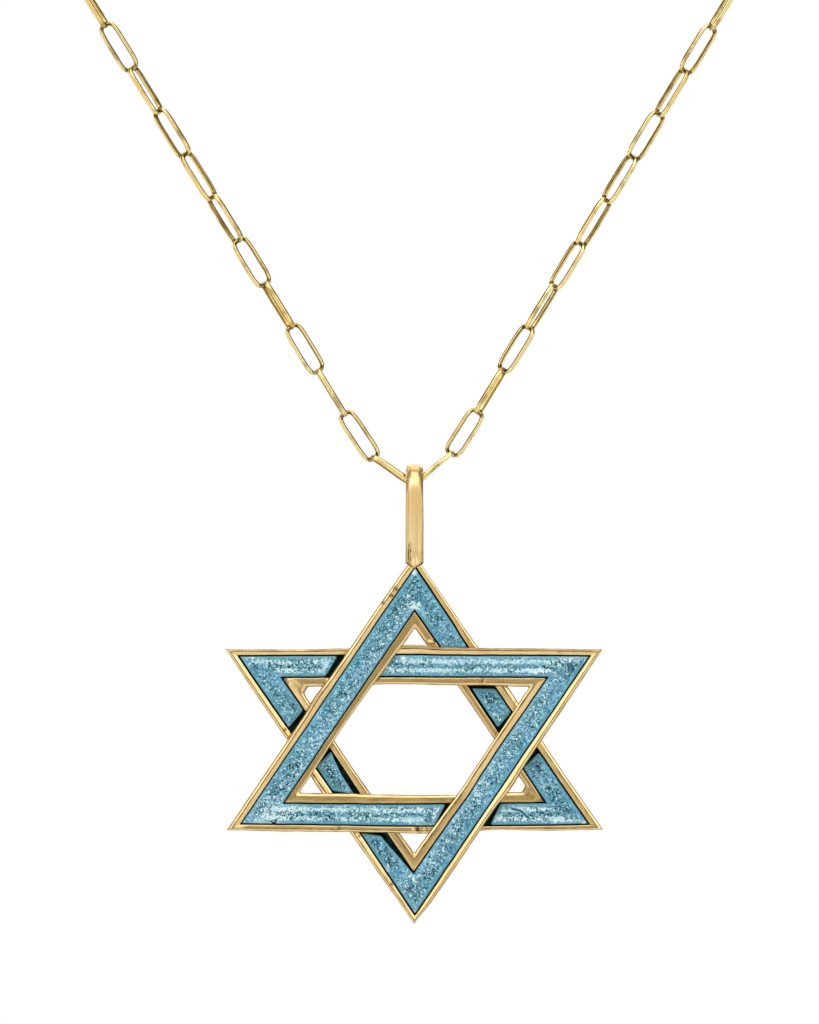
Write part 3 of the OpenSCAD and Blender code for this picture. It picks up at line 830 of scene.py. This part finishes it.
def buildStarFrame():
    bm = bmesh.new()
    layers = {"row": bm.verts.layers.int.new("row"), **floatLayers(bm, "shadeAndGrime", "shadeAndTarnish", "satin")}
    for way in (1, -1):
        verts = bandRings(bm, layers)
        shapeBand(verts, way, layers)
        # the channel walls and bottom take the painted shade finish
        for face in {f for v in verts for f in v.link_faces}:
            if all(bandSection[v[layers["row"]]][4] == "wall" for v in face.verts):
                face.material_index = 1
        bmesh.ops.transform(bm, matrix=plateMatrix(way), verts=verts)
    addSolder(bm, layers)
    buildBail(bm, layers)
    bmesh.ops.recalc_face_normals(bm, faces=bm.faces)
    bm.verts.layers.int.remove(layers["row"])
    finishPiece(bm, "starFrame", "pendant", [starGold, channelShade], "star_frame")


buildStarFrame()


# the enamel, in millimetres: how far in it starts and ends, how finely it is cut and how it crowns
enamel = {"from": 0.69, "to": 2.66, "rows": 28, "cuts": 380, "lip": 0.66, "crown": 0.11,
          "shoulder": 0.32, "roundness": 2.6, "bottom": 0.25, "grain": 0.018, "swell": 0.02,
          "roundEnd": 0.10, "endReach": 1.2, "crackReach": 0.12, "crackDeep": 0.06}
# where the enamel stops short of the inner rim: way, side, from and to along it, by how much, and how
# long it takes to begin and to end
shortfalls = [(-1, 1, 3.7, 9.9, 0.50, 4.2, 0.4), (-1, 1, 10.6, 17.2, 0.38, 0.4, 2.5),
              (1, 1, 12.0, 18.0, 0.10, 0.4, 0.4)]
# how pale the foil is all along a side: way and side
sidePale = {(1, 0): 0.12, (1, 1): 0.0, (1, 2): 0.34, (-1, 0): 0.05, (-1, 1): 0.08, (-1, 2): 0.34}
# how much wider the painted shade line round the enamel is along a side: way and side
borderShade = {(1, 0): 0.035, (1, 1): 0.04, (1, 2): 0.0, (-1, 0): 0.045, (-1, 1): 0.05, (-1, 2): 0.01}
# places where the foil is painted paler, most of them painted highlights: way, middle across and up, half
# sizes, how much
paleAndGlintSpots = [(1, -0.1, 12.15, 0.75, 0.45, 1.2), (1, -0.05, 15.1, 0.30, 0.55, 1.8),
             (1, 2.0, -6.6, 0.45, 1.0, 0.55), (1, 1.0, -7.45, 1.6, 0.30, 0.6),
             (1, -12.6, -6.2, 2.1, 1.6, 0.72), (1, -13.6, -7.3, 2.4, 0.35, 0.7),
             (1, 15.2, -7.3, 0.35, 0.30, 1.0), (1, 13.6, -7.15, 1.8, 0.18, 0.75),
             (1, 7.2, -6.8, 0.5, 0.5, 0.6), (1, 7.8, 1.8, 0.3, 0.25, 1.0),
             (-1, -14.3, -7.25, 1.6, 0.45, 0.75), (-1, -11.1, -6.05, 1.1, 0.28, 1.0),
             (-1, 2.3, 11.5, 0.4, 0.4, 0.8), (-1, -0.1, 15.1, 0.25, 0.3, 1.0),
             (-1, 14.5, -7.0, 0.9, 0.5, 0.5), (-1, 0.2, 13.4, 1.3, 1.9, 0.34),
             (-1, 1.0, -7.2, 0.32, 0.26, 1.1), (-1, -12.5, -5.6, 1.2, 1.6, 0.25)]
# cracks and creases in the enamel: way, the two ends across and up, half width
cracks = [(1, -12.78, -7.62, -12.50, -7.00, 0.05), (1, -12.66, -7.45, -12.98, -7.20, 0.04),
          (1, 8.72, -5.98, 9.55, -6.20, 0.02), (1, 9.55, -6.20, 10.27, -6.85, 0.02),
          (1, 13.4, -6.1, 13.7, -6.7, 0.02)]


def crackGap(p, way):
    # how far a point is from the nearest crack
    least = 9.0
    for crackWay, x0, z0, x1, z1, half in cracks:
        if crackWay == way:
            start, run = Vector((x0, z0)), Vector((x1 - x0, z1 - z0))
            gap = Vector((p.x, p.z)) - start
            share = min(max(gap.dot(run) / run.length_squared, 0), 1)
            least = min(least, (gap - run * share).length - half)
    return max(least, 0)


def cutEnamel(bm, way):
    # takes out the stretches that lie under the other triangle
    for strip in overStrips(way):
        across = strip["across"]
        for at in (strip["start"], strip["end"]):
            near = [f for f in bm.faces if f.calc_center_median().x > 0.5
                    and strip["low"] < f.calc_center_median().z < strip["high"]]
            edges = {e for f in near for e in f.edges}
            corners = {v for f in near for v in f.verts}
            bmesh.ops.bisect_plane(bm, geom=near + list(edges) + list(corners), dist=0.0005,
                                   plane_co=strip["point"] + across * at, plane_no=across)
        gone = []
        for f in bm.faces:
            s = stripPlace(f.calc_center_median(), strip)
            if s is not None and strip["start"] < s < strip["end"]:
                gone.append(f)
        bmesh.ops.delete(bm, geom=gone, context="FACES")


def enamelPart(p):
    # a flat point belongs to the long run, or to the short run inside or outside the other triangle
    if p.x < 0.5:
        return 0
    s = (Vector((p.x, 0, p.z)) - slantPoint).dot(slantOut)
    if s > 0 and p.z < star["flatOff"]:
        return 2
    if lowHigh < p.z < star["flatOff"] - star["band"]:
        return 1
    return 0


def spotPaleAndGlint(p, way):
    # the strongest of the painted pale and highlight spots that reach a flat point
    most = 0.0
    for spotWay, x, z, halfX, halfZ, amount in paleAndGlintSpots:
        away = math.hypot((p.x - x) / halfX, (p.z - z) / halfZ)
        if spotWay == way and away < 1.3:
            most = max(most, amount * ease(1.3 - away))
    return most


def shapeEnamel(bm, way, layers):
    # rounds the ends, crowns and crumples the top, and notes what the foil's pattern needs to know
    strips = overStrips(way)
    for v in bm.verts:
        (inset, side, along), after = nearSides(v.co)
        edge = min(inset - enamel["from"], enamel["to"] - inset)
        inwards = (inset - enamel["from"]) / (enamel["to"] - enamel["from"])
        fromMitre = ease((after[0] - inset) / 0.8)
        pull = Vector()
        for strip in strips:
            s = stripPlace(v.co, strip)
            if s is not None:
                end = 0 if s < (strip["start"] + strip["end"]) / 2 else 1
                gap = (strip["start"] - s, s - strip["end"])[end]
                more = strip["more"][end][0] * (1 - inwards) + strip["more"][end][1] * inwards
                more += enamel["roundEnd"] * max(0, 1 - edge / 0.3) ** 2
                slope = sides[side][2].dot(strip["across"])
                if abs(slope) > 0.3:
                    more *= ease(1 - gap / enamel["endReach"]) * (-1, 1)[end]
                    pull += sides[side][2] * more / slope
                edge = min(edge, gap)
        edge = max(edge, 0)
        crack = crackGap(v.co, way)
        rim = edge - borderShade[(way, side)]
        v[layers["rim"]] = min(rim, crack) if crack < enamel["crackReach"] else rim
        v[layers["level"]] = fromMitre if side == 0 else 0.0
        paleHere = sidePale[(way, side)] * ease((inwards - 0.2) / 0.4) * fromMitre
        v[layers["pale"]] = max(paleHere, spotPaleAndGlint(v.co, way))
        near = min(edge / enamel["shoulder"], 1)
        crown = enamel["lip"] + enamel["crown"] * (1 - (1 - near) ** enamel["roundness"])
        spot = Vector((v.co.x, 9 * way, v.co.z))
        inner = min(1, max(0, (edge - 0.1) / 0.35))
        crumple = noise.noise(spot * 3.4) + 0.8 * noise.noise(spot * 7.3)
        swell = enamel["swell"] * (noise.noise(spot * 0.5) + noise.noise(spot * 1.3))
        height = crown + swell * near + enamel["grain"] * crumple * (0.25 + 0.75 * inner)
        height -= enamel["crackDeep"] * max(0, 1 - crack / enamel["crackReach"])
        p = handMade(v.co, way) + pull
        for shortWay, shortSide, start, end, amount, rise, fall in shortfalls:
            if shortWay == way and shortSide == side:
                share = min(max(min((along - start) / rise, (end - along) / fall), 0), 1)
                p -= sides[side][1] * amount * share * inwards
        v.co = p
        v.co.y = -height


def buildEnamel(way):
    word = "up" if way > 0 else "down"
    bm = bmesh.new()
    layers = floatLayers(bm, "rim", "level", "pale")
    ring = startRing(bm, enamel["from"], enamel["cuts"])[0]
    width = enamel["to"] - enamel["from"]
    inset = enamel["from"]
    for row in range(enamel["rows"]):
        wanted = enamel["from"] + width * (row + 1) / enamel["rows"]
        ring = nextRing(bm, ring, inset, wanted)[0]
        inset = wanted
    cutEnamel(bm, way)
    for face in bm.faces:
        face.material_index = enamelPart(face.calc_center_median())
    shapeEnamel(bm, way, layers)
    for number, part in enumerate(("long", "side", "corner")):
        piece = bm.copy()
        gone = [f for f in piece.faces if f.material_index != number]
        bmesh.ops.delete(piece, geom=gone, context="FACES")
        border = [e for e in piece.edges if e.is_boundary]
        sunk = bmesh.ops.extrude_edge_only(piece, edges=border)["geom"]
        for v in newVerts(sunk):
            v.co.y = -enamel["bottom"]
        bmesh.ops.holes_fill(piece, edges=[e for e in piece.edges if e.is_boundary], sides=0)
        for face in piece.faces:
            face.material_index = 0
        bmesh.ops.recalc_face_normals(piece, faces=piece.faces)
        bmesh.ops.transform(piece, matrix=plateMatrix(way), verts=piece.verts)
        name = "enamel" + word.capitalize() + part.capitalize()
        finishPiece(piece, name, "pendant", [foilEnamel], "enamel_" + word + "_" + part)
    bm.free()


for way in (1, -1):
    buildEnamel(way)


# a link of the chain, in millimetres: wire a little flattened, sides drawn in towards the ends
link = {"wire": 0.40, "deep": 0.46, "width": 1.8, "length": 5.031, "wideTurn": 4.5, "wideAngle": 11,
        "tightTurn": 0.46, "square": 0.93, "firstRoll": -2, "sectionSides": 20, "straightSteps": 4,
        "wideSteps": 4, "tightSteps": 6, "uneven": 0.012}
# its painted shade and wear: painted shade on the inner edges and inside the bends where the next link
# passes, and darker patches at random
linkShadeAndWear = {"innerShade": 1.0, "innerShadeLine": 0.6, "rubLong": 0.36, "rubWide": 0.55, "rubFade": 0.18,
            "bendShade": 0.6, "patchScale": 900, "fineScale": 3600, "patchDull": 0.5, "patchSeam": 0.22}
# how the hanging chain settles off the solid model's line: height, then across and up
settle = {"chain_left": [(-96.7, 0, 0), (-94.9, -0.12, 0.42), (-90, -0.32, 0.48), (-82, -0.32, 0.6),
                         (-75, -0.28, 0.66), (-53, -0.25, 0.7), (-12, 0, 0)],
          "chain_right": [(-96.9, 0, 0), (-95.2, 0, 0.2), (-91, 0, 0.02), (-75, -0.18, -0.38),
                          (-53, -0.22, -0.38), (-12, 0, 0)]}


def solidCopy(nodeName):
    # a CAD node's mesh as a bmesh of its own, its loose triangles joined up
    solid = bmesh.new()
    solid.from_mesh(frame["nodes"][nodeName].data)
    bmesh.ops.remove_doubles(solid, verts=solid.verts, dist=1e-7)
    return solid


def fitAxes(points):
    # the place of a cloud of points: x where it is longest, z where it is thinnest
    axes = np.linalg.svd(points - points.mean(0), full_matrices=False)[2]
    spread = points @ axes.T
    middle = (spread.min(0) + spread.max(0)) / 2 @ axes
    long, wide = Vector(axes[0]), Vector(axes[1])
    turn = Matrix((long, wide, long.cross(wide))).transposed().to_4x4()
    return Matrix.Translation(Vector(middle)) @ turn


def linkPlaces(nodeName):
    # where each loose link of the solid chain lies
    solid = solidCopy(nodeName)
    found, seen = [], set()
    for start in solid.verts:
        if start in seen:
            continue
        island, waiting = [], [start]
        seen.add(start)
        while waiting:
            v = waiting.pop()
            island.append(v.co[:])
            for e in v.link_edges:
                other = e.other_vert(v)
                if other not in seen:
                    seen.add(other)
                    waiting.append(other)
        found.append(fitAxes(np.array(island)))
    solid.free()
    return found


def bendOn(bm, current, radius, heading, angle, steps):
    # bends a ring of edges on from its heading, towards the middle line
    verts = list({v for e in current for v in e.verts})
    middle = sum((v.co for v in verts), Vector()) / len(verts)
    centre = middle + Vector((-math.sin(heading), -math.cos(heading), 0)) * radius
    bent = bmesh.ops.spin(bm, geom=verts + current, cent=centre, axis=(0, 0, -1), angle=angle, steps=steps,
                          use_merge=False)["geom_last"]
    return newEdges(bent)


def linkPattern(bm, layers):
    # a quarter of the link is drawn out and bent, then mirrored twice
    halfLength = (link["length"] - link["wire"]) / 2
    halfWidth = (link["width"] - link["wire"]) / 2
    wide = math.radians(link["wideAngle"])
    straight = halfLength - link["wideTurn"] * math.sin(wide) - link["tightTurn"] * (1 - math.sin(wide))
    fallen = link["wideTurn"] * (1 - math.cos(wide)) + link["tightTurn"] * math.cos(wide)
    verts = bmesh.ops.create_circle(bm, cap_ends=False, segments=link["sectionSides"],
                                    radius=link["wire"] / 2)["verts"]
    bmesh.ops.rotate(bm, cent=(0, 0, 0), matrix=Matrix.Rotation(math.pi / 2, 3, "Y"), verts=verts)
    for v in verts:
        # the wire is drawn a little square
        v.co.y, v.co.z = (math.copysign(abs(2 * c / link["wire"]) ** link["square"] * link["wire"] / 2, c)
                          for c in (v.co.y, v.co.z))
    bmesh.ops.scale(bm, vec=(1, 1, link["deep"] / link["wire"]), verts=verts)
    for v in verts:
        # painted shade: the inner edges of the wire are painted darker
        corner = v.co.y < -0.22 * link["wire"] and abs(v.co.z) > 0.2 * link["deep"]
        v[layers["shadeAndTarnish"]] = linkShadeAndWear["innerShade"] if corner else 0.0
        v[layers["shadeAndGrime"]] = linkShadeAndWear["innerShadeLine"] if corner else 0.0
    bmesh.ops.translate(bm, vec=(0, halfWidth, 0), verts=verts)
    current = edgesAt(verts)
    for step in range(link["straightSteps"]):
        made = bmesh.ops.extrude_edge_only(bm, edges=current)["geom"]
        bmesh.ops.translate(bm, vec=(straight / link["straightSteps"], 0, 0), verts=newVerts(made))
        current = newEdges(made)
    current = bendOn(bm, current, link["wideTurn"], 0, wide, link["wideSteps"])
    current = bendOn(bm, current, link["tightTurn"], wide, math.pi / 2 - wide, link["tightSteps"])
    made = bmesh.ops.extrude_edge_only(bm, edges=current)["geom"]
    bmesh.ops.translate(bm, vec=(0, fallen - halfWidth, 0), verts=newVerts(made))
    for axis in ("X", "Y"):
        geom = list(bm.verts) + list(bm.edges) + list(bm.faces)
        bmesh.ops.mirror(bm, geom=geom, matrix=Matrix.Identity(4), merge_dist=0.001, axis=axis)
    bmesh.ops.recalc_face_normals(bm, faces=bm.faces)
    for v in bm.verts:
        # painted shade: brown painted inside each bend, where the next link passes through
        inward = halfLength - abs(v.co.x)
        if inward < linkShadeAndWear["rubLong"] and abs(v.co.y) < linkShadeAndWear["rubWide"]:
            inBend = min(1, max(0, 1.5 * inward / linkShadeAndWear["rubFade"] + 0.25))
            v[layers["shadeAndGrime"]] = max(v[layers["shadeAndGrime"]], inBend)
            v[layers["shadeAndTarnish"]] = max(v[layers["shadeAndTarnish"]], linkShadeAndWear["bendShade"])
    bmesh.ops.scale(bm, vec=(mm, mm, mm), verts=bm.verts)


def buildChain(name, nodeName):
    pattern = bmesh.new()
    layers = floatLayers(pattern, "shadeAndGrime", "shadeAndTarnish", "satin")
    linkPattern(pattern, layers)
    shape = bpy.data.meshes.new("linkPattern")
    pattern.to_mesh(shape)
    pattern.free()
    bm = bmesh.new()
    for number, place in enumerate(linkPlaces(nodeName)):
        copied = shape.copy()
        for v in copied.vertices:
            # the middle of a bend, where y is nothing, always counts to the upper side
            upper = 3 if v.co.y > -1e-6 else -3
            spot = Vector((v.co.x / mm * 0.9, number * 2.3, upper))
            v.co.y += link["uneven"] * mm * noise.noise(spot)
            v.co.z += link["uneven"] * mm * noise.noise(spot + Vector((9, 9, 9)))
        if number == 0 and nodeName == "chain_left":
            copied.transform(Matrix.Rotation(math.radians(link["firstRoll"]), 4, "X"))
        copied.transform(place)
        bm.from_mesh(copied)
        bpy.data.meshes.remove(copied)
    bpy.data.meshes.remove(shape)
    shadeAndTarnish, shadeAndGrime = bm.verts.layers.float["shadeAndTarnish"], bm.verts.layers.float["shadeAndGrime"]
    for v in bm.verts:
        # darker khaki patches at random along the wires
        patch = noise.noise(v.co * linkShadeAndWear["patchScale"]) + 0.4 * noise.noise(v.co * linkShadeAndWear["fineScale"])
        v[shadeAndTarnish] = min(1, v[shadeAndTarnish] + linkShadeAndWear["patchDull"] * ease((patch - 0.1) / 0.25))
        v[shadeAndGrime] = max(v[shadeAndGrime], linkShadeAndWear["patchSeam"] * ease((patch - 0.36) / 0.2))
        across, up = tableAt(settle[nodeName], v.co.z / mm)
        v.co += Vector((across * mm, 0, up * mm))
    finishPiece(bm, name, "chain", [chainGold], nodeName)


buildChain("chainLeft", "chain_left")
buildChain("chainRight", "chain_right")


# the clasp, in millimetres: an end ring, and a hook with a thick back and a lever; it lies along x
# from the ring to the hook's far end, the back on the -y side
clasp = {"ringWire": 0.5, "ringRadius": 0.9, "ringX": -5.6125, "ringSteps": 36, "hookWire": 0.7,
         "hookRadius": 1.85, "hookLeft": -4.3625, "hookRight": 6.6125, "backWire": 1.3, "backSwell": 2.5,
         "arcSteps": 16, "collarIn": 0.2, "collarWire": 0.84, "leverIn": 0.75, "leverWire": 0.56,
         "seamIn": 0.38, "seamWide": 0.05, "shadeAndGrime": 0.8, "middleX": 0.1, "sides": 24, "thinSides": 16,
         # stations of a collar and of the lever with its button: place along, share of the wire
         "collar": [(-0.16, 0.8), (-0.12, 0.97), (-0.05, 1), (0.05, 1), (0.12, 0.97), (0.16, 0.8)],
         "lever": [(-0.1, 0.8), (0.35, 0.8), (0.42, 1), (0.60, 1), (0.68, 0.85), (0.70, 0.5)]}


def drawBar(bm, path, sides):
    # a bar drawn through a short list of stations: place, heading in degrees, wire
    verts = bmesh.ops.create_circle(bm, cap_ends=False, segments=sides, radius=0.5)["verts"]
    bmesh.ops.rotate(bm, cent=(0, 0, 0), matrix=Matrix.Rotation(math.pi / 2, 3, "Y"), verts=verts)
    current = edgesAt(verts)
    first, before = current, (Vector(), 0, 1)
    for number, (spot, heading, wire) in enumerate(path):
        if number:
            made = bmesh.ops.extrude_edge_only(bm, edges=current)["geom"]
            verts, current = newVerts(made), newEdges(made)
        size = wire / before[2]
        bmesh.ops.scale(bm, vec=(size, size, size), space=Matrix.Translation(-before[0]), verts=verts)
        turn = Matrix.Rotation(math.radians(heading - before[1]), 3, "Z")
        bmesh.ops.rotate(bm, cent=before[0], matrix=turn, verts=verts)
        bmesh.ops.translate(bm, vec=spot - before[0], verts=verts)
        before = (spot, heading, wire)
    return first, current


def drawLoop(bm, path, sides):
    first, last = drawBar(bm, path, sides)
    bmesh.ops.bridge_loops(bm, edges=first + last)


def drawPin(bm, path, sides):
    for end in drawBar(bm, path, sides):
        bmesh.ops.holes_fill(bm, edges=end, sides=0)


def arcPath(middleX, radius, start, sweep, steps, wire):
    # stations round an arc, from a start on, in degrees
    path = []
    for number in range(steps + 1):
        degrees = start + sweep * number / steps
        angle = math.radians(degrees)
        spot = Vector((middleX + radius * math.cos(angle), radius * math.sin(angle), 0))
        path.append((spot, degrees + 90, wire))
    return path


def hookPath():
    # stations round the long loop; the lower side swells to the back's thickness
    radius, wire, steps = clasp["hookRadius"], clasp["hookWire"], clasp["arcSteps"]
    leftX, rightX = clasp["hookLeft"] + radius, clasp["hookRight"] - radius
    path = arcPath(rightX, radius, -90, 180, steps, wire)
    for number in range(1, 4):
        path.append((Vector((rightX + (leftX - rightX) * number / 4, radius, 0)), 180, wire))
    path += arcPath(leftX, radius, 90, 180, steps, wire)
    for number in range(1, steps):
        swell = ease(min(number, steps - number) / clasp["backSwell"])
        spot = Vector((leftX + (rightX - leftX) * number / steps, -radius, 0))
        path.append((spot, 360, wire + (clasp["backWire"] - wire) * swell))
    return path


def claspPlace(solid):
    # lines the drawn clasp up with the solid one; only its back is thicker than 1.1 mm
    points = np.array([v.co[:] for v in solid.verts])
    rough = fitAxes(points)
    flat = np.array([(rough.inverted() @ v.co)[:] for v in solid.verts]) / mm
    back = np.abs(flat[:, 2]) > 0.55
    along = np.linalg.svd(points[back] - points[back].mean(0), full_matrices=False)[2][0]
    if flat[back][:, 1].mean() > 0:
        rough = rough @ Matrix.Rotation(math.pi, 4, "X")
        flat = flat * np.array([1, -1, -1])
    high = np.abs(flat[flat[:, 0] > flat[:, 0].max() - 1.5][:, 1]).max()
    if high < 1.6:
        # the ring is on the wrong side: turn it over end for end, the back stays below
        rough = rough @ Matrix.Rotation(math.pi, 4, "Y")
    heading = (rough.to_3x3().inverted() @ Vector(along)).normalized()
    slope = math.atan(heading.y / heading.x)
    print("clasp slope", round(math.degrees(slope), 2))
    return rough @ Matrix.Rotation(slope, 4, "Z")


def buildClasp():
    solid = solidCopy("clasp")
    place = claspPlace(solid)
    flat = np.array([(place.inverted() @ v.co)[:] for v in solid.verts]) / mm
    solid.free()
    bm = bmesh.new()
    layers = floatLayers(bm, "shadeAndGrime", "shadeAndTarnish", "satin")
    steps = clasp["ringSteps"] - 1
    sweep = 360 * steps / clasp["ringSteps"]
    ring = arcPath(clasp["ringX"], clasp["ringRadius"], 0, sweep, steps, clasp["ringWire"])
    drawLoop(bm, ring, clasp["thinSides"])
    drawLoop(bm, hookPath(), clasp["sides"])
    # the tongue's hinge and its end: two collars, and the lever with a rounded button
    top = clasp["hookRadius"]
    left, right = clasp["hookLeft"] + top, clasp["hookRight"] - top
    for x in (left + clasp["collarIn"], right - clasp["collarIn"]):
        drawPin(bm, [(Vector((x + along, top, 0)), 0, clasp["collarWire"] * share)
                     for along, share in clasp["collar"]], clasp["sides"])
    drawPin(bm, [(Vector((left + clasp["leverIn"], top + along, 0)), 90, clasp["leverWire"] * share)
                 for along, share in clasp["lever"]], clasp["thinSides"])
    for v in bm.verts:
        near = min(abs(v.co.x - x) for x in (left + clasp["seamIn"], right - clasp["seamIn"]))
        v[layers["shadeAndGrime"]] = clasp["shadeAndGrime"] * max(0, 1 - near / clasp["seamWide"]) if v.co.y > 1.3 else 0
        v.co.x -= clasp["middleX"]
    shown = np.array([v.co[:] for v in bm.verts])
    print("clasp solid", flat.min(0).round(2), flat.max(0).round(2))
    print("clasp drawn", shown.min(0).round(2), shown.max(0).round(2))
    bmesh.ops.recalc_face_normals(bm, faces=bm.faces)
    bmesh.ops.transform(bm, matrix=place @ Matrix.Scale(mm, 4), verts=bm.verts)
    finishPiece(bm, "claspHook", "chain", [chainGold], "clasp")


buildClasp()
